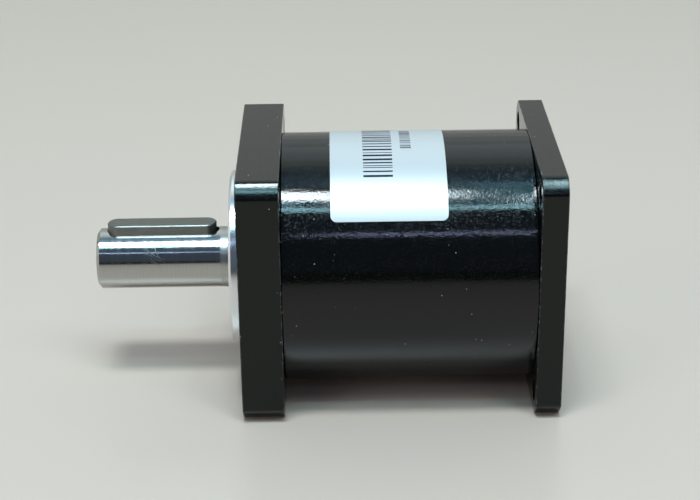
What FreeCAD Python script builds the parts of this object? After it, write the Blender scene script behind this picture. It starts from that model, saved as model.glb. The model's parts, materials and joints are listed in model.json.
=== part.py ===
import FreeCAD, Part
import Sketcher
import math
import os
import re

# Two-stage planetary inline gear reducer on a 57 mm square frame.
# The shaft axis is X.  The output shaft points along -X, the motor side along +X, and +Z is up.
# The origin lies where the shaft axis meets the front mounting face.
# Driving dimensions, in millimetres and degrees; every name is an alias in the sheet "dims".
SIZES = {
    # square flanges and the tube between them
    "flange_side": 57.0,
    "corner_cut": 3.0,
    "corner_radius": 1.5,
    "front_plate": 9.4,
    "rear_plate": 5.7,
    "overall_length": 71.1,
    "body_radius": 28.5,
    "edge_chamfer": 0.2,
    "plate_chamfer": 0.15,
    "bolt_square": 47.14,
    "bolt_hole_radius": 2.55,
    # pilot boss in front, pilot recess and clearance bore behind
    "boss_radius": 20.0,
    "boss_height": 2.5,
    "boss_chamfer": 0.5,
    "recess_radius": 19.06,
    "recess_depth": 2.0,
    "clearance_radius": 17.0,
    # spigots that centre the flanges in the tube
    "spigot_radius": 23.0,
    "front_spigot_end": 18.4,
    "rear_spigot_start": 48.3,
    "fit_gap": 0.02,
    "cut_overrun": 1.0,
    "ring_start": 19.8,
    "ring_end": 48.0,
    # flange screws, on the diagonals of the tube wall
    "screw_circle": 25.65,
    "screw_radius": 1.5,
    "screw_head_radius": 2.9,
    "screw_head_depth": 1.4,
    "screw_sink": 0.15,
    "screw_gap": 0.05,
    "front_screw_length": 16.0,
    "rear_screw_length": 12.0,
    "tapped_depth": 7.5,
    "screw_socket_radius": 1.1,
    "screw_socket_depth": 1.0,
    # output shaft with its planet cage
    "shaft_radius": 7.0,
    "shaft_reach": 33.4,
    "tip_chamfer": 0.7,
    "centre_radius": 1.6,
    "centre_depth": 2.6,
    "seat_radius": 7.5,
    "seat_start": -2.3,
    "shoulder_radius": 9.4,
    "shoulder_start": 18.3,
    "cage_start": 18.9,
    "cage_front_end": 23.0,
    "cage_rear_start": 33.0,
    "cage_end": 36.0,
    "cage_radius": 20.0,
    "pillar_radius": 3.2,
    "pillar_circle": 16.5,
    "pillar_sink": 0.5,
    "sun_clearance_radius": 6.8,
    # key and keyway
    "key_width": 5.0,
    "key_height": 5.0,
    "key_start": -31.0,
    "key_end": -6.0,
    "keyway_end": -5.4,
    "keyway_gap": 0.2,
    "keyway_floor": 3.9,
    "key_chamfer": 0.2,
    # gears
    "gear_module": 0.6,
    "pressure_angle": 20.0,
    "sun_teeth": 18,
    "planet_teeth": 27,
    "ring_teeth": 72,
    "planet_circle": 13.5,
    "tip_height": 0.6,
    "root_depth": 0.75,
    "ring_tip_height": 0.55,
    "tooth_thinning": 0.05,
    "ring_widening": 0.07,
    # output stage
    "output_planet_start": 23.5,
    "output_planet_width": 9.0,
    "output_sun_start": 23.7,
    "output_sun_end": 36.3,
    # input stage
    "carrier_start": 36.5,
    "carrier_end": 40.0,
    "first_planet_start": 40.5,
    "first_planet_width": 5.6,
    "first_pin_end": 46.5,
    "disc_start": 46.6,
    "disc_thickness": 1.2,
    "disc_bore_radius": 6.8,
    "hub_radius": 4.4,
    "hub_inset": 1.0,
    # planet pins, bushes and washers
    "pin_radius": 2.5,
    "output_pin_inset": 1.0,
    "first_pin_inset": 0.5,
    "bush_radius": 4.0,
    "running_gap": 0.04,
    "washer_radius": 6.0,
    "washer_thickness": 0.46,
    "washer_gap": 0.02,
    "pad_radius": 3.0,
    "pad_bore_radius": 0.75,
    "pad_thickness": 1.2,
    "pad_recess": 0.7,
    # ball bearings
    "output_bearing_bore": 7.5,
    "output_bearing_outer": 14.0,
    "output_ball_radius": 1.98,
    "output_ball_count": 11,
    "input_bearing_bore": 10.0,
    "input_bearing_outer": 16.0,
    "input_ball_radius": 1.75,
    "input_ball_count": 13,
    "bearing_width": 7.0,
    "front_bearing_start": 3.2,
    "rear_bearing_start": 11.2,
    "input_bearing_start": 49.5,
    "rib_radius": 12.6,
    "lip_radius": 14.0,
    "land_share": 0.58,
    "ring_chamfer": 0.3,
    "race_gap": 0.04,
    "cage_half_width": 2.5,
    "cage_half_thickness": 0.35,
    "shield_inset": 0.3,
    "shield_thickness": 0.25,
    "shield_gap": 0.15,
    # seal, circlip and O-rings
    "seal_start": -2.1,
    "seal_width": 3.9,
    "seal_wall": 0.9,
    "seal_lip_width": 1.1,
    "seal_spring_radius": 0.5,
    "seal_spring_circle": 9.3,
    "seal_spring_inset": 1.0,
    "circlip_start": 2.05,
    "circlip_width": 1.0,
    "circlip_radius": 9.2,
    "groove_radius": 7.1,
    "groove_start": 2.0,
    "groove_width": 1.1,
    "o_ring_radius": 0.75,
    "o_ring_circle": 22.18,
    "o_groove_radius": 21.4,
    "o_groove_width": 2.0,
    "front_o_groove": 13.0,
    "rear_o_groove": 51.1,
    # input shaft, clamp collar and access plug
    "pinion_start": 40.5,
    "pinion_end": 46.2,
    "neck_radius": 5.9,
    "input_shoulder_start": 48.5,
    "input_shoulder_radius": 11.6,
    "sleeve_start": 56.6,
    "sleeve_radius": 7.0,
    "sleeve_end": 68.4,
    "motor_bore_radius": 4.0,
    "motor_bore_start": 49.4,
    "bore_chamfer": 0.5,
    "slit_width": 1.2,
    "collar_start": 57.0,
    "collar_width": 7.0,
    "collar_radius": 15.0,
    "collar_chamfer": 0.6,
    "clamp_height": 10.6,
    "clamp_thread_radius": 1.5,
    "clamp_head_radius": 2.75,
    "clamp_head_length": 3.0,
    "clamp_head_seat": 5.0,
    "clamp_length": 13.0,
    "clamp_clearance": 0.2,
    "access_radius": 3.2,
    "plug_start": 19.2,
    "plug_length": 5.4,
    "plug_socket_radius": 1.7,
    "plug_socket_depth": 2.4,
    # label on the tube
    "label_start": 20.3,
    "label_length": 25.6,
    "label_thickness": 0.1,
    "label_first_angle": 22.0,
    "label_sweep": 120.1,
}

doc = FreeCAD.newDocument("inline_gear_reducer")
sheet = doc.addObject("Spreadsheet::Sheet", "dims")
for row, (alias, number) in enumerate(SIZES.items(), start=1):
    sheet.set(f"A{row}", alias)
    sheet.set(f"B{row}", str(number))
    sheet.setAlias(f"B{row}", alias)
doc.recompute()

ALIAS = re.compile(r"\b(" + "|".join(sorted(SIZES, key=len, reverse=True)) + r")\b")
ORIGIN = (-1, 1)
H_AXIS = -1
V_AXIS = -2
X_DIRECTION = FreeCAD.Vector(1, 0, 0)
nodes = []


def bind(item, path, formula):
    """Tie one property to a formula written with the sheet's aliases."""
    item.setExpression(path, ALIAS.sub(r"dims.\1", formula))


def size(formula):
    """The present value of a formula written with the sheet's aliases."""
    return float(sheet.evalExpression(formula))


def origin_item(body, role):
    """A body's own origin plane or axis."""
    return next(item for item in body.Origin.OriginFeatures if item.Role == role)


def new_body(name, station="0", solids=1):
    """An empty body whose local x = 0 stands at the station along the shaft axis."""
    body = doc.addObject("PartDesign::Body", name)
    body.Label = name
    body.AllowCompound = solids > 1
    if station != "0":
        bind(body, "Placement.Base.x", station)
    nodes.append(body)
    return body


def new_sketch(body, role, offset="0"):
    """A sketch on one of the body's own origin planes, moved along its normal."""
    sketch = body.newObject("Sketcher::SketchObject", body.Name + "_sketch")
    sketch.AttachmentSupport = (origin_item(body, role), "")
    sketch.MapMode = "FlatFace"
    if offset != "0":
        bind(sketch, "AttachmentOffset.Base.z", offset)
    return sketch


def pin_point(sketch, where, across, up):
    """Hold a point at (across, up); a leading minus sign puts it on the negative side."""
    for kind, axis, formula in (("DistanceX", V_AXIS, across), ("DistanceY", H_AXIS, up)):
        if formula == "0":
            sketch.addConstraint(Sketcher.Constraint("PointOnObject", *where, axis))
            continue
        ends = (*where, *ORIGIN) if formula.startswith("-") else (*ORIGIN, *where)
        distance = formula.lstrip("-")
        number = sketch.addConstraint(Sketcher.Constraint(kind, *ends, size(distance)))
        bind(sketch, f"Constraints[{number}]", distance)


def draw_polygon(sketch, corners):
    """A closed outline through corners given as pairs of formulas."""
    points = [FreeCAD.Vector(size(across), size(up), 0) for across, up in corners]
    count = len(points)
    lines = [
        sketch.addGeometry(Part.LineSegment(points[i], points[(i + 1) % count]), False)
        for i in range(count)
    ]
    for i, line in enumerate(lines):
        sketch.addConstraint(
            Sketcher.Constraint("Coincident", line, 2, lines[(i + 1) % count], 1)
        )
    for line, (across, up) in zip(lines, corners):
        pin_point(sketch, (line, 1), across, up)


def draw_circle(sketch, across, up, radius):
    """A circle with its centre and radius held by formulas."""
    centre = FreeCAD.Vector(size(across), size(up), 0)
    circle = sketch.addGeometry(Part.Circle(centre, FreeCAD.Vector(0, 0, 1), size(radius)))
    pin_point(sketch, (circle, 3), across, up)
    number = sketch.addConstraint(Sketcher.Constraint("Radius", circle, size(radius)))
    bind(sketch, f"Constraints[{number}]", radius)


def turn(body, outline, cut=False):
    """Revolve an outline of (axial, radial) formulas about the shaft axis."""
    sketch = new_sketch(body, "XZ_Plane")
    draw_polygon(sketch, outline)
    kind = "PartDesign::Groove" if cut else "PartDesign::Revolution"
    feature = body.newObject(kind, body.Name + "_turned")
    feature.Profile = sketch
    feature.ReferenceAxis = (sketch, ["H_Axis"])
    feature.Angle = 360.0
    return feature


def extrude(body, sketch, length, cut=False, forward=True):
    """Pad or pocket a sketch along its plane's normal, forward or backward."""
    kind = "PartDesign::Pocket" if cut else "PartDesign::Pad"
    feature = body.newObject(kind, body.Name + "_extruded")
    feature.Profile = sketch
    feature.Reversed = forward if cut else not forward
    bind(feature, "Length", length)
    return feature


def around(body, feature, count):
    """Repeat one feature around the shaft axis."""
    pattern = body.newObject("PartDesign::PolarPattern", body.Name + "_pattern")
    pattern.Originals = [feature]
    pattern.Axis = (origin_item(body, "X_Axis"), [""])
    pattern.Angle = 360.0
    bind(pattern, "Occurrences", count)
    body.Tip = pattern


def tube(name, station, inner, outer, length, chamfer="0"):
    """A plain ring, with its outer edges broken if a chamfer is given."""
    body = new_body(name, station)
    if chamfer == "0":
        outline = [("0", inner), ("0", outer), (length, outer), (length, inner)]
    else:
        outline = [
            ("0", inner),
            ("0", f"{outer} - {chamfer}"),
            (chamfer, outer),
            (f"{length} - {chamfer}", outer),
            (length, f"{outer} - {chamfer}"),
            (length, inner),
        ]
    turn(body, outline)
    return body


def ball_row(name, station, circle, radius, count):
    """Separate balls spaced evenly on a circle about the shaft axis."""
    body = new_body(name, station, solids=2)
    ball = body.newObject("PartDesign::AdditiveSphere", name + "_ball")
    bind(ball, "Radius", radius)
    bind(ball, "Placement.Base.z", circle)
    around(body, ball, count)


def ball_bearing(name, start, bore, outer, ball, count):
    """A shielded deep-groove bearing: two rings, balls, cage and shields."""
    circle = f"({bore} + {outer}) / 2"
    middle = f"{start} + bearing_width / 2"
    track = f"{ball} + race_gap"
    half = "bearing_width / 2"
    inner_land = f"({circle} - {ball} * land_share)"
    outer_land = f"({circle} + {ball} * land_share)"
    rings = (
        ("outer_ring", outer_land, f"{outer} - fit_gap"),
        ("inner_ring", f"{bore} + fit_gap", inner_land),
    )
    for part, inside, outside in rings:
        ring = new_body(f"{name}_{part}", start)
        turn(ring, [
            ("0", f"{inside} + ring_chamfer"),
            ("0", f"{outside} - ring_chamfer"),
            ("ring_chamfer", outside),
            ("bearing_width - ring_chamfer", outside),
            ("bearing_width", f"{outside} - ring_chamfer"),
            ("bearing_width", f"{inside} + ring_chamfer"),
            ("bearing_width - ring_chamfer", inside),
            ("ring_chamfer", inside),
        ])
        sketch = new_sketch(ring, "XZ_Plane")
        draw_circle(sketch, half, circle, track)
        race = ring.newObject("PartDesign::Groove", name + "_race")
        race.Profile = sketch
        race.ReferenceAxis = (sketch, ["H_Axis"])
        race.Angle = 360.0
    ball_row(f"{name}_balls", middle, circle, ball, count)
    cage = new_body(f"{name}_cage", middle + " - cage_half_width")
    turn(cage, [
        ("0", f"{circle} - cage_half_thickness"),
        ("0", f"{circle} + cage_half_thickness"),
        ("cage_half_width * 2", f"{circle} + cage_half_thickness"),
        ("cage_half_width * 2", f"{circle} - cage_half_thickness"),
    ])
    pocket = cage.newObject("PartDesign::SubtractiveSphere", name + "_pocket")
    bind(pocket, "Radius", f"{ball} + race_gap * 2")
    bind(pocket, "Placement.Base.x", "cage_half_width")
    bind(pocket, "Placement.Base.z", circle)
    around(cage, pocket, count)
    shields = new_body(f"{name}_shields", start, solids=2)
    for near in ("shield_inset", "bearing_width - shield_inset - shield_thickness"):
        turn(shields, [
            (near, f"{inner_land} + shield_gap"),
            (near, f"{outer_land} - fit_gap"),
            (f"{near} + shield_thickness", f"{outer_land} - fit_gap"),
            (f"{near} + shield_thickness", f"{inner_land} + shield_gap"),
        ])


def point_at(radius, angle):
    """A point on a circle in the YZ plane, its angle counted from +Y towards +Z."""
    return FreeCAD.Vector(0, radius * math.cos(angle), radius * math.sin(angle))


def involute(angle):
    """The involute function."""
    return math.tan(angle) - angle


def tooth_profile(name, teeth, inner, outer, extra):
    """A face with involute teeth; extra is the change of tooth thickness at the pitch circle."""
    count = int(size(teeth))
    pitch_radius = size("gear_module") * count / 2
    pressure = math.radians(size("pressure_angle"))
    base_radius = pitch_radius * math.cos(pressure)
    root_radius = pitch_radius + size(inner)
    tip_radius = pitch_radius + size(outer)
    flank_start = max(root_radius, base_radius)
    half_at_pitch = math.pi / (2 * count) + size(extra) / (2 * pitch_radius)

    def half_angle(radius):
        return half_at_pitch + involute(pressure) - involute(math.acos(base_radius / radius))

    foot = half_angle(flank_start)
    waist_radius = (flank_start + tip_radius) / 2
    waist = half_angle(waist_radius)
    crest = half_angle(tip_radius)
    step = 2 * math.pi / count
    edges = []
    for tooth in range(count):
        centre = tooth * step
        rise = [
            point_at(flank_start, centre - foot),
            point_at(waist_radius, centre - waist),
            point_at(tip_radius, centre - crest),
        ]
        fall = [
            point_at(tip_radius, centre + crest),
            point_at(waist_radius, centre + waist),
            point_at(flank_start, centre + foot),
        ]
        low = [
            point_at(root_radius, centre + foot),
            point_at(root_radius, centre + step / 2),
            point_at(root_radius, centre + step - foot),
        ]
        if root_radius < base_radius:
            edges.append(Part.makeLine(point_at(root_radius, centre - foot), rise[0]))
        edges.append(Part.Arc(*rise).toShape())
        edges.append(Part.Arc(rise[2], point_at(tip_radius, centre), fall[0]).toShape())
        edges.append(Part.Arc(*fall).toShape())
        if root_radius < base_radius:
            edges.append(Part.makeLine(fall[2], low[0]))
        edges.append(Part.Arc(*low).toShape())
    profile = doc.addObject("Part::Feature", name + "_profile")
    profile.Shape = Part.Face(Part.Wire(edges))
    return profile


def prism(name, profile, start, length):
    """A profile in the YZ plane drawn out along the shaft axis."""
    solid = doc.addObject("Part::Extrusion", name + "_prism")
    solid.Base = profile
    solid.Dir = X_DIRECTION
    solid.DirMode = "Custom"
    solid.Solid = True
    bind(solid, "LengthFwd", length)
    bind(solid, "Placement.Base.x", start)
    return solid


def rod(name, start, radius, length):
    """A plain cylinder about the shaft axis."""
    solid = doc.addObject("Part::Cylinder", name + "_rod")
    bind(solid, "Radius", radius)
    bind(solid, "Height", length)
    solid.Placement.Rotation = FreeCAD.Rotation(FreeCAD.Vector(0, 1, 0), 90)
    bind(solid, "Placement.Base.x", start)
    return solid


def combine(kind, name, base, tool):
    """A boolean of two objects that becomes a node of its own."""
    result = doc.addObject(kind, name)
    result.Base = base
    result.Tool = tool
    if base in nodes:
        base.Label = name + "_blank"
        nodes.remove(base)
    result.Label = name
    nodes.append(result)
    return result


def placed_tool(body, kind, start, across="0", up="0", turned_to="X", **sizes):
    """A PartDesign primitive set along +X, -X or +Y, its axis passing (start, across, up)."""
    tool = body.newObject("PartDesign::" + kind, body.Name + "_tool")
    turns = {
        "X": FreeCAD.Rotation(FreeCAD.Vector(0, 1, 0), 90),
        "-X": FreeCAD.Rotation(FreeCAD.Vector(0, 1, 0), -90),
        "Y": FreeCAD.Rotation(FreeCAD.Vector(1, 0, 0), -90),
        "none": FreeCAD.Rotation(),
    }
    tool.Placement.Rotation = turns[turned_to]
    for letter, formula in (("x", start), ("y", across), ("z", up)):
        if formula != "0":
            bind(tool, "Placement.Base." + letter, formula)
    for name, formula in sizes.items():
        bind(tool, name, formula)
    return tool


def outline_plate(body, start, thickness):
    """The square plate with cut corners, softened where the cuts meet the sides."""
    half = "(flange_side / 2)"
    inner = "(flange_side / 2 - corner_cut)"
    sketch = new_sketch(body, "YZ_Plane", start)
    draw_polygon(sketch, [
        ("-" + inner, "-" + half), (inner, "-" + half),
        (half, "-" + inner), (half, inner),
        (inner, half), ("-" + inner, half),
        ("-" + half, inner), ("-" + half, "-" + inner),
    ])
    plate = extrude(body, sketch, thickness)
    doc.recompute()
    upright = [
        f"Edge{number}" for number, edge in enumerate(plate.Shape.Edges, start=1)
        if abs(edge.Vertexes[0].X - edge.Vertexes[-1].X) > 0.01
    ]
    rounded = body.newObject("PartDesign::Fillet", body.Name + "_corners")
    rounded.Base = (plate, upright)
    bind(rounded, "Radius", "corner_radius")
    doc.recompute()
    side = size(half) - 0.01
    rim = [
        f"Edge{number}" for number, edge in enumerate(rounded.Shape.Edges, start=1)
        if abs(edge.Vertexes[0].X - edge.Vertexes[-1].X) < 0.01
        and all(math.hypot(corner.Y, corner.Z) > side for corner in edge.Vertexes)
    ]
    broken = body.newObject("PartDesign::Chamfer", body.Name + "_rim")
    broken.Base = (rounded, rim)
    bind(broken, "Size", "plate_chamfer")


def bolt_holes(body, start, thickness):
    """Four plain mounting holes on the standard square."""
    sketch = new_sketch(body, "YZ_Plane", start)
    half = "bolt_square / 2"
    for across in ("", "-"):
        for up in ("", "-"):
            draw_circle(sketch, across + half, up + half, "bolt_hole_radius")
    extrude(body, sketch, thickness, cut=True)


def screw_form(body, head_face, towards_rear, length, solid):
    """Four countersunk screws on the diagonals, or the holes that take them."""
    kind = "Additive" if solid else "Subtractive"
    gap = "0" if solid else "screw_gap"
    sign = "+" if towards_rear else "-"
    facing = "X" if towards_rear else "-X"
    diagonal = "screw_circle * cos(45 deg)"

    def step(shape, depth, **sizes):
        start = f"{head_face} {sign} ({depth})"
        around(body, placed_tool(body, shape, start, diagonal, diagonal, facing, **sizes), "4")

    step(kind + "Cone", "screw_sink", Radius1=f"screw_head_radius + {gap}",
         Radius2=f"screw_radius + {gap}", Height="screw_head_depth")
    step(kind + "Cylinder", "screw_sink + screw_head_depth", Radius=f"screw_radius + {gap}",
         Height=f"{length} - screw_head_depth")
    if solid:
        step("SubtractivePrism", "screw_sink", Circumradius="screw_socket_radius",
             Height="screw_socket_depth")
    else:
        step("SubtractiveCylinder", "0", Radius="screw_head_radius + screw_gap",
             Height="screw_sink")


def draw_slot(sketch, start, end, half_width):
    """A round-ended slot along the sketch's horizontal axis."""
    left = size(f"{start} + {half_width}")
    right = size(f"{end} - ({half_width})")
    radius = size(half_width)
    quarter = math.pi / 2
    axis = FreeCAD.Vector(0, 0, 1)
    arcs = [
        sketch.addGeometry(
            Part.ArcOfCircle(Part.Circle(FreeCAD.Vector(centre, 0, 0), axis, radius), *span), False
        )
        for centre, span in ((left, (quarter, 3 * quarter)), (right, (-quarter, quarter)))
    ]
    top = sketch.addGeometry(Part.LineSegment(
        FreeCAD.Vector(right, radius, 0), FreeCAD.Vector(left, radius, 0)), False)
    bottom = sketch.addGeometry(Part.LineSegment(
        FreeCAD.Vector(left, -radius, 0), FreeCAD.Vector(right, -radius, 0)), False)
    joins = ((arcs[1], 2, top, 1), (top, 2, arcs[0], 1), (arcs[0], 2, bottom, 1),
             (bottom, 2, arcs[1], 1))
    for join in joins:
        sketch.addConstraint(Sketcher.Constraint("Tangent", *join))
    pin_point(sketch, (arcs[0], 3), f"{start} + {half_width}", "0")
    pin_point(sketch, (arcs[1], 3), f"{end} - ({half_width})", "0")
    number = sketch.addConstraint(Sketcher.Constraint("Radius", arcs[0], radius))
    bind(sketch, f"Constraints[{number}]", half_width)


# Tube with the ring gear cut in it

tube_length = "(overall_length - front_plate - rear_plate)"
housing = new_body("gear_housing", "front_plate")
turn(housing, [
    ("0", "spigot_radius"),
    ("0", "body_radius - edge_chamfer"),
    ("edge_chamfer", "body_radius"),
    (f"{tube_length} - edge_chamfer", "body_radius"),
    (tube_length, "body_radius - edge_chamfer"),
    (tube_length, "spigot_radius"),
    ("ring_end - front_plate", "spigot_radius"),
    ("ring_end - front_plate", "cage_radius"),
    ("ring_start - front_plate", "cage_radius"),
    ("ring_start - front_plate", "spigot_radius"),
])
for screw_start in ("0", f"{tube_length} - tapped_depth"):
    tapped = placed_tool(
        housing, "SubtractiveCylinder", screw_start, "screw_circle * cos(45 deg)",
        "screw_circle * cos(45 deg)", Radius="screw_radius + screw_gap", Height="tapped_depth",
    )
    around(housing, tapped, "4")
placed_tool(
    housing, "SubtractiveCylinder", "collar_start + collar_width / 2 - front_plate", "0",
    "clamp_height", "Y", Radius="access_radius", Height="body_radius",
)
ring_profile = tooth_profile(
    "ring", "ring_teeth", "0 - ring_tip_height", "root_depth", "ring_widening")
ring_cutter = prism(
    "ring", ring_profile, "ring_start - cut_overrun", "ring_end - ring_start + cut_overrun * 2")
combine("Part::Cut", "gear_housing", housing, ring_cutter)

# Front flange: pilot boss, plate and spigot, bored for the seal and two bearings

front = new_body("front_flange", "0 - boss_height")
front_outer = "(spigot_radius - fit_gap)"
turn(front, [
    ("0", "rib_radius"),
    ("0", "boss_radius - boss_chamfer"),
    ("boss_chamfer", "boss_radius"),
    ("boss_height + front_plate / 2", "boss_radius"),
    ("boss_height + front_plate / 2", front_outer),
    ("boss_height + front_spigot_end", front_outer),
    ("boss_height + front_spigot_end", "rib_radius"),
])
outline_plate(front, "boss_height", "front_plate")
turn(front, [
    ("0", "0"),
    ("0", "output_bearing_outer"),
    ("boss_height + front_bearing_start + bearing_width", "output_bearing_outer"),
    ("boss_height + front_bearing_start + bearing_width", "rib_radius"),
    ("boss_height + rear_bearing_start", "rib_radius"),
    ("boss_height + rear_bearing_start", "output_bearing_outer"),
    ("boss_height + front_spigot_end", "output_bearing_outer"),
    ("boss_height + front_spigot_end", "0"),
], cut=True)
turn(front, [
    ("boss_height + front_o_groove", "o_groove_radius"),
    ("boss_height + front_o_groove", "body_radius"),
    ("boss_height + front_o_groove + o_groove_width", "body_radius"),
    ("boss_height + front_o_groove + o_groove_width", "o_groove_radius"),
], cut=True)
bolt_holes(front, "boss_height", "front_plate")
screw_form(front, "boss_height", True, "front_screw_length", solid=False)

# Rear flange: spigot with the input bearing seat, plate, clearance bore and pilot recess

rear = new_body("rear_flange", "rear_spigot_start")
rear_face = "(overall_length - rear_spigot_start)"
rear_plate_start = "(overall_length - rear_plate - rear_spigot_start)"
seat = "(input_bearing_start - rear_spigot_start)"
turn(rear, [
    ("0", "lip_radius"),
    ("0", "spigot_radius - fit_gap"),
    (f"{rear_plate_start} + rear_plate / 2", "spigot_radius - fit_gap"),
    (f"{rear_plate_start} + rear_plate / 2", "lip_radius"),
])
outline_plate(rear, rear_plate_start, "rear_plate")
turn(rear, [
    ("0", "0"),
    ("0", "lip_radius"),
    (seat, "lip_radius"),
    (seat, "input_bearing_outer"),
    (f"{seat} + bearing_width", "input_bearing_outer"),
    (f"{seat} + bearing_width", "clearance_radius"),
    (f"{rear_face} - recess_depth", "clearance_radius"),
    (f"{rear_face} - recess_depth", "recess_radius"),
    (rear_face, "recess_radius"),
    (rear_face, "0"),
], cut=True)
turn(rear, [
    ("rear_o_groove - rear_spigot_start", "o_groove_radius"),
    ("rear_o_groove - rear_spigot_start", "body_radius"),
    ("rear_o_groove - rear_spigot_start + o_groove_width", "body_radius"),
    ("rear_o_groove - rear_spigot_start + o_groove_width", "o_groove_radius"),
], cut=True)
bolt_holes(rear, rear_plate_start, "rear_plate")
screw_form(rear, rear_face, False, "rear_screw_length", solid=False)
placed_tool(
    rear, "SubtractiveCylinder", "collar_start + collar_width / 2 - rear_spigot_start", "0",
    "clamp_height", "Y", Radius="access_radius", Height="body_radius",
)

# Flange screws, O-rings, seal and circlip

for name, face, towards_rear, length in (
    ("front_screws", "0", True, "front_screw_length"),
    ("rear_screws", "overall_length", False, "rear_screw_length"),
):
    screws = new_body(name, solids=4)
    screw_form(screws, face, towards_rear, length, solid=True)


def torus(name, middle, circle, radius):
    """A round-section ring about the shaft axis."""
    ring = doc.addObject("Part::Torus", name)
    ring.Label = name
    ring.Placement.Rotation = FreeCAD.Rotation(FreeCAD.Vector(0, 1, 0), 90)
    bind(ring, "Radius1", circle)
    bind(ring, "Radius2", radius)
    bind(ring, "Placement.Base.x", middle)
    nodes.append(ring)


torus("front_o_ring", "front_o_groove + o_groove_width / 2", "o_ring_circle", "o_ring_radius")
torus("rear_o_ring", "rear_o_groove + o_groove_width / 2", "o_ring_circle", "o_ring_radius")
torus("seal_spring", "seal_start + seal_width - seal_spring_inset", "seal_spring_circle",
      "seal_spring_radius")

seal = new_body("output_seal", "seal_start")
seal_outer = "output_bearing_outer - fit_gap"
lip_inner = "seat_radius + running_gap"
turn(seal, [
    ("0", lip_inner),
    ("0", seal_outer),
    ("seal_width", seal_outer),
    ("seal_width", f"{seal_outer} - seal_wall"),
    ("seal_wall", f"{seal_outer} - seal_wall"),
    ("seal_wall", f"{lip_inner} + seal_lip_width"),
    ("seal_width", f"{lip_inner} + seal_lip_width"),
    ("seal_width", lip_inner),
])

circlip = tube(
    "shaft_circlip", "circlip_start", "groove_radius + fit_gap", "circlip_radius", "circlip_width")
placed_tool(
    circlip, "SubtractiveBox", "0", "0 - slit_width", "0", "none", Length="circlip_width",
    Width="slit_width * 2", Height="circlip_radius * 2",
)

# Output shaft in one piece with the planet cage

shaft = new_body("output_shaft", "0 - shaft_reach")
reach = "shaft_reach + "
turn(shaft, [
    ("centre_depth", "0"),
    ("0", "centre_radius"),
    ("0", "shaft_radius - tip_chamfer"),
    ("tip_chamfer", "shaft_radius"),
    (reach + "seat_start", "shaft_radius"),
    (reach + "seat_start", "seat_radius"),
    (reach + "groove_start", "seat_radius"),
    (reach + "groove_start", "groove_radius"),
    (reach + "groove_start + groove_width", "groove_radius"),
    (reach + "groove_start + groove_width", "seat_radius"),
    (reach + "shoulder_start", "seat_radius"),
    (reach + "shoulder_start", "shoulder_radius"),
    (reach + "cage_start", "shoulder_radius"),
    (reach + "cage_start", "cage_radius"),
    (reach + "cage_front_end", "cage_radius"),
    (reach + "cage_front_end", "pad_radius + fit_gap"),
    (reach + "cage_front_end - pad_recess", "pad_radius + fit_gap"),
    (reach + "cage_front_end - pad_recess", "0"),
])
pillar = placed_tool(
    shaft, "AdditiveCylinder", reach + "cage_front_end - pillar_sink", "0 - pillar_circle",
    Radius="pillar_radius", Height="cage_rear_start - cage_front_end + pillar_sink * 2",
)
around(shaft, pillar, "3")
turn(shaft, [
    (reach + "cage_rear_start", "sun_clearance_radius"),
    (reach + "cage_rear_start", "cage_radius"),
    (reach + "cage_end", "cage_radius"),
    (reach + "cage_end", "sun_clearance_radius"),
])
pin_hole = placed_tool(
    shaft, "SubtractiveCylinder", reach + "cage_start + output_pin_inset", "planet_circle",
    Radius="pin_radius + fit_gap", Height="cage_end - cage_start",
)
around(shaft, pin_hole, "3")
keyway = new_sketch(shaft, "XY_Plane", "keyway_floor")
draw_slot(
    keyway, "shaft_reach + key_start - keyway_gap", "shaft_reach + keyway_end",
    "key_width / 2 + fit_gap",
)
extrude(shaft, keyway, "shaft_radius", cut=True)

key = new_body("output_key", "key_start")
key_sketch = new_sketch(key, "XY_Plane", "keyway_floor")
draw_slot(key_sketch, "0", "key_end - key_start", "key_width / 2")
key_block = extrude(key, key_sketch, "key_height")
doc.recompute()
key_top = size("keyway_floor + key_height")
top_edges = [
    f"Edge{number}" for number, edge in enumerate(key_block.Shape.Edges, start=1)
    if all(abs(corner.Z - key_top) < 0.01 for corner in edge.Vertexes)
]
key_rim = key.newObject("PartDesign::Chamfer", "output_key_rim")
key_rim.Base = (key_block, top_edges)
bind(key_rim, "Size", "key_chamfer")

tube("thrust_pad", "cage_front_end - pad_recess", "pad_bore_radius", "pad_radius",
     "pad_thickness", "washer_gap")


def pins(name, start, across, length):
    """Three planet pins, as separate solids in one node."""
    body = new_body(name, solids=3)
    pin = placed_tool(
        body, "AdditiveCylinder", start, across, Radius="pin_radius", Height=length)
    around(body, pin, "3")


def washers(name, starts, across):
    """Thrust washers on the three planet pins, as separate solids in one node."""
    body = new_body(name, solids=3)
    forms = (("AdditiveCylinder", "washer_radius"),
             ("SubtractiveCylinder", "pin_radius + running_gap"))
    for start in starts:
        for shape, radius in forms:
            form = placed_tool(
                body, shape, start, across, Radius=radius, Height="washer_thickness")
            around(body, form, "3")


pins("output_planet_pins", "cage_start + output_pin_inset", "planet_circle",
     "cage_end - cage_start - output_pin_inset")
washers(
    "output_thrust_washers",
    ("cage_front_end + washer_gap", "output_planet_start + output_planet_width + washer_gap"),
    "planet_circle",
)
pins("first_planet_pins", "carrier_start + first_pin_inset", "0 - planet_circle",
     "first_pin_end - carrier_start - first_pin_inset")
washers("first_thrust_washers", ("carrier_end + washer_gap",), "0 - planet_circle")

# Gears

planet_profile = tooth_profile(
    "planet", "planet_teeth", "0 - root_depth", "tip_height", "0 - tooth_thinning")
sun_profile = tooth_profile(
    "sun", "sun_teeth", "0 - root_depth", "tip_height", "0 - tooth_thinning")


def set_on_circle(item, angle):
    """Move a node from the shaft axis to its planet pin."""
    bind(item, "Placement.Base.y", f"planet_circle * cos({angle} deg)")
    bind(item, "Placement.Base.z", f"planet_circle * sin({angle} deg)")


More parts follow.
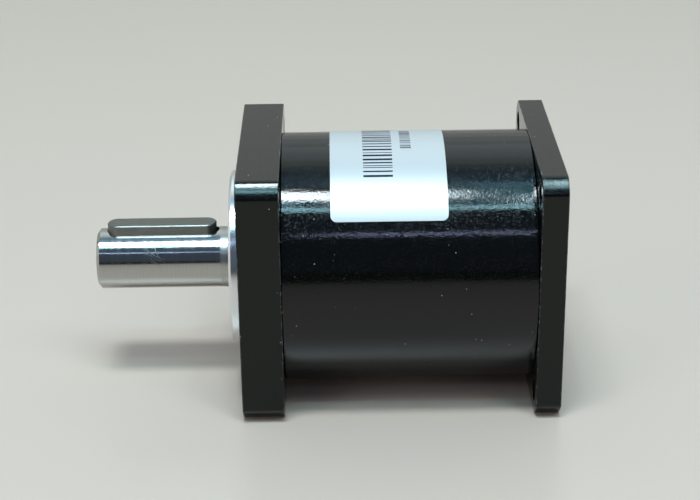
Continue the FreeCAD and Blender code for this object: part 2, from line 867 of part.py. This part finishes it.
def planet_set(stage, start, width, first_angle):
    """Three planet gears and their bushes, meshed with the sun and the ring at rest."""
    for number in (1, 2, 3):
        angle = first_angle + 120 * (number - 1)
        blank = prism(f"{stage}_planet_{number}", planet_profile, start, width)
        bore = rod(f"{stage}_planet_{number}", start, "bush_radius", width)
        planet = combine("Part::Cut", f"{stage}_planet_{number}", blank, bore)
        planet.Placement.Rotation = FreeCAD.Rotation(X_DIRECTION, 1)
        bind(planet, "Placement.Rotation.Angle",
             f"{angle} + 180 + (sun_teeth * {angle} - 180) / planet_teeth")
        set_on_circle(planet, angle)
        bush = tube(f"{stage}_bush_{number}", start, "pin_radius + running_gap",
                    "bush_radius - fit_gap", width)
        set_on_circle(bush, angle)


planet_set("output", "output_planet_start", "output_planet_width", 0)
planet_set("first", "first_planet_start", "first_planet_width", 180)

sun_teeth_solid = prism(
    "output_sun", sun_profile, "output_sun_start", "output_sun_end - output_sun_start")
sun_hub = rod("output_sun", "output_sun_start + hub_inset", "hub_radius",
              "carrier_end - output_sun_start - hub_inset")
combine("Part::Fuse", "output_sun", sun_teeth_solid, sun_hub)

carrier = tube("first_carrier", "carrier_start", "hub_radius + fit_gap", "cage_radius",
               "carrier_end - carrier_start", "edge_chamfer")
carrier_hole = placed_tool(
    carrier, "SubtractiveCylinder", "first_pin_inset", "0 - planet_circle",
    Radius="pin_radius + fit_gap", Height="carrier_end - carrier_start",
)
around(carrier, carrier_hole, "3")

tube("thrust_disc", "disc_start", "disc_bore_radius", "cage_radius", "disc_thickness")

# Input shaft: pinion, bearing seat and slit sleeve for the motor shaft

sleeve = new_body("input_shaft", "pinion_end")
turn(sleeve, [
    ("0", "0"),
    ("0", "neck_radius"),
    ("input_shoulder_start - pinion_end", "neck_radius"),
    ("input_shoulder_start - pinion_end", "input_shoulder_radius"),
    ("input_bearing_start - pinion_end", "input_shoulder_radius"),
    ("input_bearing_start - pinion_end", "input_bearing_bore"),
    ("sleeve_start - pinion_end", "input_bearing_bore"),
    ("sleeve_start - pinion_end", "sleeve_radius"),
    ("sleeve_end - pinion_end", "sleeve_radius"),
    ("sleeve_end - pinion_end", "motor_bore_radius + bore_chamfer"),
    ("sleeve_end - pinion_end - bore_chamfer", "motor_bore_radius"),
    ("motor_bore_start - pinion_end", "motor_bore_radius"),
    ("motor_bore_start - pinion_end", "0"),
])
placed_tool(
    sleeve, "SubtractiveBox", "collar_start - pinion_end", "0 - slit_width / 2",
    "0 - sleeve_radius - cut_overrun", "none", Length="sleeve_end - collar_start + cut_overrun",
    Width="slit_width", Height="(sleeve_radius + cut_overrun) * 2",
)
pinion = prism("input_shaft", sun_profile, "pinion_start", "pinion_end - pinion_start")
combine("Part::Fuse", "input_shaft", sleeve, pinion)

collar = tube("clamp_collar", "collar_start", "sleeve_radius + fit_gap", "collar_radius",
              "collar_width", "collar_chamfer")
placed_tool(
    collar, "SubtractiveBox", "0", "0 - slit_width / 2", "0", "none", Length="collar_width",
    Width="slit_width", Height="collar_radius + cut_overrun",
)
placed_tool(
    collar, "SubtractiveCylinder", "collar_width / 2", "0 - collar_radius", "clamp_height", "Y",
    Radius="clamp_thread_radius + screw_gap", Height="collar_radius * 2",
)
placed_tool(
    collar, "SubtractiveCylinder", "collar_width / 2", "clamp_head_seat", "clamp_height", "Y",
    Radius="clamp_head_radius + clamp_clearance", Height="collar_radius",
)

clamp = new_body("clamp_screw", "collar_start + collar_width / 2")
placed_tool(
    clamp, "AdditiveCylinder", "0", "clamp_head_seat - clamp_length", "clamp_height", "Y",
    Radius="clamp_thread_radius", Height="clamp_length",
)
placed_tool(
    clamp, "AdditiveCylinder", "0", "clamp_head_seat", "clamp_height", "Y",
    Radius="clamp_head_radius", Height="clamp_head_length",
)
placed_tool(
    clamp, "SubtractivePrism", "0", "clamp_head_seat + clamp_head_length / 2", "clamp_height",
    "Y", Circumradius="clamp_thread_radius", Height="clamp_head_length",
)

plug = new_body("access_plug", "collar_start + collar_width / 2")
placed_tool(
    plug, "AdditiveCylinder", "0", "plug_start", "clamp_height", "Y",
    Radius="access_radius - fit_gap", Height="plug_length",
)
placed_tool(
    plug, "SubtractivePrism", "0", "plug_start + plug_length - plug_socket_depth",
    "clamp_height", "Y", Circumradius="plug_socket_radius", Height="plug_socket_depth",
)

# Bearings

ball_bearing("front_bearing", "front_bearing_start", "output_bearing_bore",
             "output_bearing_outer", "output_ball_radius", "output_ball_count")
ball_bearing("rear_bearing", "rear_bearing_start", "output_bearing_bore",
             "output_bearing_outer", "output_ball_radius", "output_ball_count")
ball_bearing("input_bearing", "input_bearing_start", "input_bearing_bore",
             "input_bearing_outer", "input_ball_radius", "input_ball_count")

# Label wrapped over the top of the tube

label = new_body("label", "label_start")
label_strip = turn(label, [
    ("0", "body_radius + fit_gap"),
    ("0", "body_radius + label_thickness"),
    ("label_length", "body_radius + label_thickness"),
    ("label_length", "body_radius + fit_gap"),
])
bind(label_strip, "Angle", "label_sweep")
label.Placement.Rotation = FreeCAD.Rotation(X_DIRECTION, 1)
bind(label, "Placement.Rotation.Angle", "label_first_angle - 90")

doc.recompute()

for item in doc.Objects:
    if "Invalid" in item.State or "Error" in item.State:
        raise RuntimeError(f"{item.Label} failed: {item.State}")
os.makedirs("parts", exist_ok=True)
for node in nodes:
    if node.Shape.isNull() or not node.Shape.isValid():
        raise RuntimeError(f"{node.Label} has no valid shape")
    node.Shape.exportStep(f"parts/{node.Label}.step")
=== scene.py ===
import json
import math
import bmesh
import bpy
from mathutils import Matrix, Vector


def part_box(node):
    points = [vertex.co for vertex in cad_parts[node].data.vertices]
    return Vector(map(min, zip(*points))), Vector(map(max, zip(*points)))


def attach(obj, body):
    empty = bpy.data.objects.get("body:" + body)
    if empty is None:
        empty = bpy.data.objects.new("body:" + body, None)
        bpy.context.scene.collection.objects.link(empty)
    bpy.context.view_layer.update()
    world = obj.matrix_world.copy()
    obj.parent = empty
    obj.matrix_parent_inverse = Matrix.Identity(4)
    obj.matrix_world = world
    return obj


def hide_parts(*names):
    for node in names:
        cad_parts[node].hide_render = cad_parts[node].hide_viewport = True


# Looks of an inline gear reducer: finishes for the CAD pieces, the label that is wrapped
# over the tube, and a small studio. The shaft axis is X, and Z is up.

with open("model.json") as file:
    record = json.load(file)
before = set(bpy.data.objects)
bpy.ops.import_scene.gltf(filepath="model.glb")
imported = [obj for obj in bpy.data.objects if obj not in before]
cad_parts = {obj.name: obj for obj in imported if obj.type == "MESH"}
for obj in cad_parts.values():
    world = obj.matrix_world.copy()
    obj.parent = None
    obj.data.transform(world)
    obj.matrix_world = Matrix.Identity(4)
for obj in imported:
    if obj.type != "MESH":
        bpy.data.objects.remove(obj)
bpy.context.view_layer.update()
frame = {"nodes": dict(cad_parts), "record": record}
nodes = frame["nodes"]
MM = 0.001

# ---------------------------------------------------------------- materials


class Paint:
    """A Principled material and short calls for its texture nodes.

    The colour and roughness that it starts with are plain values, which nodes may vary later.
    """

    def __init__(self, name, colour, roughness, metallic=0.0, **sockets):
        self.material = bpy.data.materials.new(name)
        self.material.use_nodes = True
        self.tree = self.material.node_tree
        self.shader = self.tree.nodes["Principled BSDF"]
        self.set("Base Color", (*colour, 1.0))
        self.set("Roughness", roughness)
        self.set("Metallic", metallic)
        for socket, value in sockets.items():
            self.set(socket.replace("_", " "), value)
        self.place = self.add("ShaderNodeTexCoord").outputs["Object"]
        split = self.add("ShaderNodeSeparateXYZ", Vector=self.place)
        self.along = split.outputs["X"]
        self.y = split.outputs["Y"]
        self.z = split.outputs["Z"]

    def set(self, socket, value):
        """Give a shader socket a value, or link it to a node's output."""
        self.fill(self.shader.inputs[socket], value)

    def fill(self, socket, value):
        if isinstance(value, bpy.types.NodeSocket):
            self.tree.links.new(value, socket)
        else:
            socket.default_value = value

    def add(self, kind, settings=None, **inputs):
        """A node with its settings and inputs; an input may be named or numbered, as i0."""
        node = self.tree.nodes.new(kind)
        for name, value in (settings or {}).items():
            setattr(node, name, value)
        for name, value in inputs.items():
            numbered = name[0] == "i" and name[1:].isdigit()
            key = int(name[1:]) if numbered else name.replace("_", " ")
            self.fill(node.inputs[key], value)
        return node

    def math(self, operation, *values):
        inputs = {f"i{number}": value for number, value in enumerate(values)}
        return self.add("ShaderNodeMath", {"operation": operation}, **inputs).outputs[0]

    def span(self, value, low, high, to_low, to_high):
        """A value carried smoothly from low..high to to_low..to_high."""
        node = self.add("ShaderNodeMapRange", {"interpolation_type": "SMOOTHSTEP"}, Value=value,
                        From_Min=low, From_Max=high, To_Min=to_low, To_Max=to_high)
        return node.outputs["Result"]

    def radius(self):
        """Distance from the shaft axis."""
        square = self.math("ADD", self.math("MULTIPLY", self.y, self.y),
                           self.math("MULTIPLY", self.z, self.z))
        return self.math("SQRT", square)

    def speckle(self, size, detail=2.0, stretch=(1.0, 1.0, 1.0)):
        """Noise whose grains are about size across, in metres."""
        mapped = self.add("ShaderNodeMapping", Vector=self.place, Scale=stretch)
        node = self.add("ShaderNodeTexNoise", Vector=mapped.outputs[0],
                        Scale=1.0 / size, Detail=detail)
        return node.outputs["Fac"]

    def rings(self, position, size, detail=3.0):
        """Noise along one measure only, such as tool marks along a turned surface."""
        node = self.add("ShaderNodeTexNoise", {"noise_dimensions": "1D"}, W=position,
                        Scale=1.0 / size, Detail=detail)
        return node.outputs["Fac"]

    def blend(self, share, first, second):
        """Two colours mixed by a share from 0 to 1."""
        node = self.add("ShaderNodeMix", {"data_type": "RGBA"}, Factor=share,
                        i6=(*first, 1.0), i7=(*second, 1.0))
        return node.outputs[2]

    def pimples(self, spacing):
        """Small domes scattered at random on a flat ground, 1 at their tops."""
        cells = self.add("ShaderNodeTexVoronoi", Vector=self.place, Scale=1.0 / spacing)
        return self.span(cells.outputs["Distance"], 0.0, 0.32, 1.0, 0.0)

    def dust(self, spacing):
        """A few small specks, 1 where they lie and 0 elsewhere."""
        cells = self.add("ShaderNodeTexVoronoi", Vector=self.place, Scale=1.0 / spacing)
        return self.span(cells.outputs["Distance"], 0.025, 0.045, 1.0, 0.0)

    def worn_and_highlit_edges(self, width):
        """Broken patches along the edges, 1 where lightened and 0 elsewhere; they are partly wear
        and partly a painted highlight that the edges would catch.

        An edge is where the rounded surface and the true one face different ways.
        """
        soft = self.add("ShaderNodeBevel", {"samples": 6}, Radius=width).outputs["Normal"]
        flat = self.add("ShaderNodeNewGeometry").outputs["Normal"]
        agree = self.add("ShaderNodeVectorMath", {"operation": "DOT_PRODUCT"},
                         i0=soft, i1=flat).outputs["Value"]
        edge = self.span(agree, 0.88, 0.985, 1.0, 0.0)
        patches = self.span(self.speckle(1.1 * MM, 3.0), 0.48, 0.60, 0.0, 1.0)
        return self.math("MULTIPLY", edge, patches)

    def scratches(self, middle, reach):
        """Thin crossing scratches, 1 on the lines and 0 elsewhere, within reach of a point."""
        spacing = 1.5 * MM
        squeeze = 0.07
        lines = []
        up = self.math("SUBTRACT", self.z, self.y)
        for slope in (-0.32, -0.52):
            # cells squeezed along the slope leave long thin borders, which are the scratches
            lengthwise, crosswise = (
                self.math("ADD", self.math("MULTIPLY", self.along, along_share),
                          self.math("MULTIPLY", up, up_share))
                for along_share, up_share in (
                    (squeeze * math.cos(slope), squeeze * math.sin(slope)),
                    (math.sin(slope), -math.cos(slope))))
            laid = self.add("ShaderNodeCombineXYZ", X=lengthwise, Y=crosswise)
            cells = self.add("ShaderNodeTexVoronoi", {"feature": "DISTANCE_TO_EDGE"},
                             Vector=laid.outputs[0], Scale=1.0 / spacing)
            lines.append(self.span(cells.outputs["Distance"], 0.0, 0.03, 1.0, 0.0))
        any_line = self.math("MAXIMUM", lines[0], lines[1])
        away = self.add("ShaderNodeVectorMath", {"operation": "DISTANCE"},
                        i0=self.place, i1=middle).outputs["Value"]
        near = self.span(away, 0.4 * reach, reach, 1.0, 0.0)
        return self.math("MULTIPLY", any_line, near)

    def bump(self, *layers, round_edges=0.0):
        """Stack bumps given as (height, depth in metres), over softened edges if wanted."""
        normal = None
        if round_edges:
            normal = self.add("ShaderNodeBevel", {"samples": 6},
                              Radius=round_edges).outputs["Normal"]
        for height, depth in layers:
            node = self.add("ShaderNodeBump", Height=height, Distance=depth, Strength=1.0)
            if normal is not None:
                self.fill(node.inputs["Normal"], normal)
            normal = node.outputs["Normal"]
        self.set("Normal", normal)


def gloss_black():
    """Gloss black coating on the tube, with a fine pebbled skin and a little dust."""
    coating = (0.0014, 0.0016, 0.0015)
    paint = Paint("gloss_black", coating, 0.10, IOR=1.5, Specular_Tint=(0.82, 0.82, 0.82, 1.0))
    paint.set("Base Color", paint.blend(paint.dust(3 * MM), coating, (0.42, 0.42, 0.40)))
    paint.set("Roughness", paint.span(paint.speckle(3 * MM), 0.3, 0.7, 0.05, 0.10))
    paint.bump((paint.speckle(0.45 * MM, 1.0), 0.016 * MM),
               (paint.pimples(0.34 * MM), 0.022 * MM), round_edges=0.12 * MM)
    return paint.material


def flange_black():
    """The same coating on milled plate: a little duller, and lighter in patches along its edges,
    partly wear and partly a painted highlight.

    The bump swells the narrow faces that cut the plate's corners, which lie where Y and Z
    are equally far from the axis.
    """
    coating = (0.0014, 0.0017, 0.0015)
    paint = Paint("flange_black", coating, 0.2, IOR=1.5, Specular_Tint=(0.66, 0.70, 0.68, 1.0))
    # the pale edge patches are partly wear and partly painted highlight, standing in for the
    # light that the edges catch; the specks are dust
    marks = paint.math("MAXIMUM", paint.dust(3 * MM), paint.worn_and_highlit_edges(0.15 * MM))
    paint.set("Base Color", paint.blend(marks, coating, (0.48, 0.49, 0.48)))
    paint.set("Roughness", paint.span(paint.speckle(2 * MM), 0.3, 0.7, 0.07, 0.12))
    half_width = 3.0 * MM
    across = paint.math("SUBTRACT", paint.math("ABSOLUTE", paint.y),
                        paint.math("ABSOLUTE", paint.z))
    offset = paint.math("MINIMUM", paint.math("ABSOLUTE", across), half_width)
    fall = paint.math("POWER", paint.math("DIVIDE", offset, half_width), 2.0)
    crown = paint.math("SUBTRACT", 1.0, fall)
    paint.bump((crown, 0.16 * MM),
               (paint.speckle(0.3 * MM, 1.0), 0.014 * MM),
               (paint.pimples(0.32 * MM), 0.034 * MM), round_edges=0.15 * MM)
    return paint.material


def turned_bright():
    """Bright aluminium where the boss and bores are turned after coating."""
    paint = Paint("turned_bright", (0.80, 0.82, 0.84), 0.2, 1.0)
    cuts = paint.math("ADD", paint.along, paint.radius())
    paint.bump((paint.rings(cuts, 0.12 * MM), 0.004 * MM), round_edges=0.1 * MM)
    return paint.material


def ground_shaft():
    """Ground steel shaft with fine rings round it, a duller turned band beside the boss and
    a few handling scratches."""
    paint = Paint("ground_shaft", (0.50, 0.49, 0.46), 0.16, 1.0)
    rings = paint.rings(paint.along, 0.10 * MM)
    paint.set("Base Color", paint.blend(paint.span(rings, 0.35, 0.65, 0.0, 1.0),
                                        (0.38, 0.375, 0.355), (0.50, 0.495, 0.47)))
    worn = paint.span(paint.rings(paint.along, 1.2 * MM), 0.3, 0.7, 0.09, 0.16)
    turned_from = -5.2 * MM
    blur = 0.1 * MM
    turned = paint.span(paint.along, turned_from - blur, turned_from + blur, 0.0, 0.16)
    scratches = paint.scratches(Vector((-19.5, -5.8, 3.2)) * MM, 3.4 * MM)
    paint.set("Roughness", paint.math("ADD", paint.math("ADD", worn, turned),
                                      paint.math("MULTIPLY", scratches, 0.22)))
    paint.bump((rings, 0.003 * MM), (paint.speckle(0.3 * MM), 0.0012 * MM),
               (scratches, 0.004 * MM))
    return paint.material


def key_steel():
    """Drawn key steel, brushed along its length."""
    paint = Paint("key_steel", (0.19, 0.195, 0.185), 0.38, 1.0)
    brushed = paint.speckle(0.12 * MM, 3.0, (0.04, 1.0, 1.0))
    paint.set("Base Color", paint.blend(paint.span(brushed, 0.3, 0.7, 0.0, 1.0),
                                        (0.15, 0.157, 0.15), (0.23, 0.236, 0.222)))
    paint.bump((brushed, 0.004 * MM))
    return paint.material


def plain_metal(name, colour, roughness, grain, depth):
    """Machined metal of an inner piece, whose roughness varies a little about its value."""
    paint = Paint(name, colour, roughness, 1.0)
    paint.set("Roughness",
              paint.span(paint.speckle(grain * 6), 0.3, 0.7, roughness * 0.8, roughness * 1.25))
    paint.bump((paint.speckle(grain), depth))
    return paint.material


def seal_rubber():
    """Matt black rubber."""
    paint = Paint("seal_rubber", (0.012, 0.012, 0.012), 0.62)
    paint.bump((paint.speckle(0.15 * MM), 0.004 * MM))
    return paint.material


def label_film():
    """White satin label film."""
    paint = Paint("label_film", (0.42, 0.45, 0.47), 0.43, Specular_IOR_Level=1.0,
                  Coat_Weight=1.0, Coat_Roughness=0.36, Coat_IOR=1.9)
    paint.set("Roughness", paint.span(paint.speckle(1.5 * MM), 0.3, 0.7, 0.42, 0.44))
    paint.bump((paint.speckle(0.5 * MM), 0.001 * MM))
    return paint.material


def print_ink():
    """Dark printing ink on the label."""
    paint = Paint("print_ink", (0.008, 0.010, 0.026), 0.5, IOR=1.3)
    paint.set("Roughness", paint.span(paint.speckle(0.3 * MM), 0.3, 0.7, 0.42, 0.58))
    return paint.material


FINISHES = {
    "gloss_black": gloss_black(),
    "flange_black": flange_black(),
    "turned_bright": turned_bright(),
    "ground_shaft": ground_shaft(),
    "key_steel": key_steel(),
    "seal_rubber": seal_rubber(),
    "label_film": label_film(),
    "print_ink": print_ink(),
    "gear_steel": plain_metal("gear_steel", (0.52, 0.52, 0.51), 0.28, 0.2 * MM, 0.002 * MM),
    "bearing_steel": plain_metal("bearing_steel", (0.72, 0.72, 0.73), 0.12, 0.3 * MM,
                                 0.0006 * MM),
    "black_oxide": plain_metal("black_oxide", (0.045, 0.045, 0.05), 0.32, 0.2 * MM, 0.002 * MM),
    "bronze": plain_metal("bronze", (0.62, 0.42, 0.22), 0.36, 0.15 * MM, 0.003 * MM),
}
SLOT_FINISH = {
    "black_coating": "gloss_black",
    "ground_steel": "ground_shaft",
    "gear_steel": "gear_steel",
    "bearing_steel": "bearing_steel",
    "black_oxide": "black_oxide",
    "bronze": "bronze",
    "seal_rubber": "seal_rubber",
    "label_film": "label_film",
}
# pieces whose finish is not the one that their slot names
NODE_FINISH = {
    "front_flange": "flange_black",
    "rear_flange": "flange_black",
    "output_key": "key_steel",
}
slot_of = {entry["node"]: entry["material_slot"] for entry in frame["record"]["subparts"]}
for name, node in nodes.items():
    finish = NODE_FINISH.get(name, SLOT_FINISH[slot_of[name]])
    node.data.materials.clear()
    node.data.materials.append(FINISHES[finish])


def second_finish(name, finish, belongs):
    """Give a node's faces that pass a test a finish of their own."""
    mesh = nodes[name].data
    mesh.materials.append(FINISHES[finish])
    for face in mesh.polygons:
        if belongs(face.center):
            face.material_index = 1


def from_axis(place):
    """Distance of a point from the shaft axis."""
    return math.hypot(place.y, place.z)


# each limit lies just outside the bore that is bare metal, and the boss stands before x = 0
SEAL_SEAT_LIMIT = 14.5 * MM
MOTOR_RECESS_LIMIT = 19.2 * MM
TUBE_BORE_LIMIT = 23.2 * MM
HAIR = 0.01 * MM
second_finish("front_flange", "turned_bright",
              lambda centre: centre.x < -HAIR or from_axis(centre) < SEAL_SEAT_LIMIT)
second_finish("rear_flange", "turned_bright",
              lambda centre: from_axis(centre) < MOTOR_RECESS_LIMIT)
second_finish("gear_housing", "gear_steel", lambda centre: from_axis(centre) < TUBE_BORE_LIMIT)

# ---------------------------------------------------------------- label

LABEL_LOW, LABEL_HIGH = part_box("label")
LABEL_RADIUS = LABEL_HIGH.z
PRINT_THICKNESS = 0.015 * MM
PRINT_LIFT = 0.002 * MM
FILM_THICKNESS = 0.07 * MM
FILM_RADIUS = LABEL_RADIUS - PRINT_THICKNESS
# angles round the axis are in degrees, from +Y over the top towards -Y
LABEL_FIRST = 22.0
LABEL_LAST = 142.1
LABEL_CORNER = 1.4 * MM
LABEL_STEPS = 60
CORNER_STEPS = 8
SHARP_EDGE = 35.0


def wrapped_sheet(name, patches, inner, outer, finish):
    """Thin patches bent round the shaft axis; each is a list of (angle, start, end) stations."""
    bm = bmesh.new()
    for stations in patches:
        rows = []
        for angle, start, end in stations:
            turn = math.radians(angle)
            rows.append([
                bm.verts.new((x, radius * math.cos(turn), radius * math.sin(turn)))
                for x, radius in ((start, inner), (end, inner), (end, outer), (start, outer))
            ])
        for first, second in zip(rows, rows[1:]):
            for side in range(4):
                following = (side + 1) % 4
                bm.faces.new((first[side], first[following], second[following], second[side]))
        bm.faces.new(rows[0][::-1])
        bm.faces.new(rows[-1])
    bmesh.ops.recalc_face_normals(bm, faces=bm.faces)
    mesh = bpy.data.meshes.new(name)
    bm.to_mesh(mesh)
    bm.free()
    mesh.materials.append(FINISHES[finish])
    piece = bpy.data.objects.new(name, mesh)
    bpy.context.scene.collection.objects.link(piece)
    for face in mesh.polygons:
        face.use_smooth = True
    mesh.set_sharp_from_angle(angle=math.radians(SHARP_EDGE))
    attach(piece, "housing")
    return piece


def label_stations():
    """The label's outline, with rounded corners, as stations from its far end to its near end."""
    per_degree = math.radians(1) * LABEL_RADIUS
    even = [LABEL_FIRST + (LABEL_LAST - LABEL_FIRST) * step / LABEL_STEPS
            for step in range(LABEL_STEPS + 1)]
    rounding = [LABEL_CORNER * (1 - math.cos(math.radians(90 * step / CORNER_STEPS))) / per_degree
                for step in range(CORNER_STEPS + 1)]
    corner_turn = rounding[-1]
    turns = sorted({round(turn, 4) for turn in even
                    if LABEL_FIRST + corner_turn < turn < LABEL_LAST - corner_turn}
                   | {round(LABEL_FIRST + step, 4) for step in rounding}
                   | {round(LABEL_LAST - step, 4) for step in rounding})
    stations = []
    for turn in turns:
        from_end = min(turn - LABEL_FIRST, LABEL_LAST - turn) * per_degree
        short_of = max(LABEL_CORNER - from_end, 0.0)
        square = LABEL_CORNER * LABEL_CORNER - short_of * short_of
        inset = LABEL_CORNER - math.sqrt(max(square, 0.0))
        stations.append((turn, LABEL_LOW.x + inset, LABEL_HIGH.x - inset))
    return stations


def print_bars(first_angle, last_angle, start, end, pitch, seed):
    """Generic bars along the axis, of three widths and gaps, stacked round the label.

    Widths and gaps follow a small number generator, so they are the same each time.
    """
    multiplier = 16807
    modulus = 2147483647
    bars = []
    number = seed
    angle = first_angle
    while angle > last_angle:
        number = (number * multiplier) % modulus
        thickness = pitch * (0.5 + 0.45 * (number % 3))
        bars.append([(angle - thickness, start, end), (angle, start, end)])
        number = (number * multiplier) % modulus
        angle -= thickness + pitch * (0.9 + 0.55 * (number % 3))
    return bars


film = wrapped_sheet("label_sheet", [label_stations()],
                     FILM_RADIUS - FILM_THICKNESS, FILM_RADIUS, "label_film")
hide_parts("label")
large_bars = print_bars(120.2, 74.0, 27.6 * MM, 34.1 * MM, 0.85, 5)
small_bars = print_bars(101.0, 78.0, 36.0 * MM, 38.4 * MM, 0.55, 11)
wrapped_sheet("label_marks", large_bars + small_bars, FILM_RADIUS + PRINT_LIFT, LABEL_RADIUS,
              "print_ink")

# ---------------------------------------------------------------- floor, light and camera

FLOOR_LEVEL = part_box("front_flange")[0].z
FLOOR_REACH = 6.0
MIDDLE = Vector((20 * MM, 0, 0))
ALONG_X = Vector((1, 0, 0))
ALONG_Y = Vector((0, 1, 0))


def make_floor():
    """A plain pale floor under the flanges."""
    paint = Paint("pale_floor", (0.545, 0.45, 0.39), 0.3)
    mesh = bpy.data.meshes.new("floor")
    corners = [(-1, -1), (1, -1), (1, 1), (-1, 1)]
    mesh.from_pydata([(x * FLOOR_REACH, y * FLOOR_REACH, FLOOR_LEVEL) for x, y in corners],
                     [], [(0, 1, 2, 3)])
    mesh.materials.append(paint.material)
    floor = bpy.data.objects.new("floor", mesh)
    bpy.context.scene.collection.objects.link(floor)


def panel(name, place, across, outward, width, tall, radiance, colour):
    """An area light at a place, facing back along outward, that looks evenly bright."""
    lamp = bpy.data.lights.new(name, "AREA")
    lamp.shape = "RECTANGLE"
    lamp.size = width
    lamp.size_y = tall
    lamp.color = colour
    lamp.energy = radiance * width * tall * math.pi
    light = bpy.data.objects.new(name, lamp)
    upward = outward.cross(across)
    light.matrix_world = Matrix((across, upward, outward)).transposed().to_4x4()
    light.location = place
    bpy.context.scene.collection.objects.link(light)


def softbox(name, turn, distance, width, arc, radiance, colour, side=0.0):
    """An area light turned round the shaft axis, in degrees from +Y over the top towards -Y.

    Width is measured along X and the arc in degrees round X; side shifts the light along X.
    """
    angle = math.radians(turn)
    outward = Vector((0, math.cos(angle), math.sin(angle)))
    tall = 2 * distance * math.tan(math.radians(arc) / 2)
    panel(name, MIDDLE + outward * distance + ALONG_X * side, ALONG_X, outward, width, tall,
          radiance, colour)


def room_band(name, turn, arc, radiance, colour):
    """A band of the pale room round the part, wider than anything the part reflects."""
    softbox(name, turn, 1.6, 4.5, arc, radiance, colour)


def make_lights():
    """A pale room behind the part, a bright lamp over it and dim blue light before it."""
    room_band("low_wall", 7.0, 14.0, 0.46, (0.96, 1.0, 0.95))
    room_band("wall_1", 20.0, 12.0, 0.54, (0.94, 1.0, 0.95))
    room_band("wall_2", 32.0, 12.0, 0.70, (0.86, 0.97, 1.0))
    room_band("wall_3", 44.0, 12.0, 1.04, (0.86, 0.98, 1.0))
    room_band("wall_4", 55.0, 10.0, 1.10, (0.82, 0.98, 1.0))
    room_band("wall_5", 64.0, 8.0, 0.86, (0.84, 0.98, 1.0))
    room_band("wall_6", 71.0, 6.0, 0.56, (0.72, 0.90, 1.0))
    room_band("ceiling_1", 78.0, 8.0, 0.44, (0.38, 0.75, 1.0))
    room_band("ceiling_2", 87.0, 10.0, 0.66, (0.26, 0.62, 1.0))
    # the lamp overhead, the lights that the cut corners catch and the thin strips
    softbox("main_lamp", 102.3, 1.0, 0.34, 8.5, 40.0, (0.80, 0.94, 1.0), -0.082)
    softbox("front_corner", 101.0, 1.0, 0.036, 8.0, 48.0, (0.80, 0.94, 1.0), -0.065)
    softbox("front_corner_low", 110.5, 1.0, 0.036, 11.0, 12.0, (0.34, 0.78, 1.0), -0.065)
    softbox("corner_lamp", 107.5, 1.0, 0.09, 9.0, 24.0, (0.72, 0.95, 1.0), 0.205)
    softbox("blue_panel", 101.0, 1.0, 0.19, 22.0, 2.2, (0.24, 0.78, 1.0), 0.183)
    softbox("thin_strip", 115.2, 1.0, 0.66, 3.0, 15.0, (0.44, 0.88, 1.0), 0.07)
    softbox("violet_strip", 139.0, 1.0, 0.27, 1.3, 11.0, (0.56, 0.66, 1.0), 0.115)
    softbox("shaft_strip", 139.0, 1.0, 0.11, 1.3, 6.0, (0.46, 0.66, 1.0), -0.16)
    room_band("dim_front", 123.0, 32.0, 0.13, (0.30, 0.60, 1.0))
    room_band("low_front", 156.0, 32.0, 0.09, (0.35, 0.60, 1.0))
    # lamps off to both sides keep the ground beside and before the part bright
    softbox("side_lamp", 118.0, 1.0, 0.42, 16.0, 5.0, (0.97, 1.0, 0.98), 0.52)
    softbox("fill_left", 130.0, 1.2, 0.7, 26.0, 3.0, (1.0, 0.99, 0.95), -1.0)
    softbox("low_fill_left", 163.0, 1.0, 0.7, 30.0, 1.0, (1.0, 0.97, 0.90), -0.8)
    softbox("low_fill_right", 163.0, 1.0, 0.7, 30.0, 1.0, (1.0, 0.97, 0.90), 0.8)
    # the walls that close the pale room to the left and the right
    for name, sign in (("left_wall", -1), ("right_wall", 1)):
        panel(name, Vector((sign * 2.3, 0.1, 0.62)), ALONG_Y, ALONG_X * sign, 2.6, 1.3, 0.75,
              (0.96, 1.0, 0.97))
    world = bpy.data.worlds.new("studio")
    world.use_nodes = True
    background = world.node_tree.nodes["Background"]
    background.inputs["Color"].default_value = (0.9, 0.95, 1.0, 1.0)
    background.inputs["Strength"].default_value = 0.04
    bpy.context.scene.world = world


def make_camera():
    """The photograph's viewpoint: before the part and above it, looking along +Y and down."""
    place = Vector((21.752, -369.509, 162.726)) * MM
    yaw, pitch, roll = (math.radians(angle) for angle in (0.442, 23.625, -0.71))
    ahead = Vector((math.sin(yaw) * math.cos(pitch), math.cos(yaw) * math.cos(pitch),
                    -math.sin(pitch)))
    right = Vector((math.cos(yaw), -math.sin(yaw), 0))
    upward = right.cross(ahead)
    tilted_right = right * math.cos(roll) + upward * math.sin(roll)
    tilted_up = upward * math.cos(roll) - right * math.sin(roll)
    data = bpy.data.cameras.new("camera")
    data.sensor_width = 36.0
    data.lens = 89.46
    camera = bpy.data.objects.new("camera", data)
    camera.matrix_world = Matrix((tilted_right, tilted_up, -ahead)).transposed().to_4x4()
    camera.location = place
    bpy.context.scene.collection.objects.link(camera)
    bpy.context.scene.camera = camera


make_floor()
make_lights()
make_camera()
bpy.context.scene.view_settings.view_transform = "Standard"
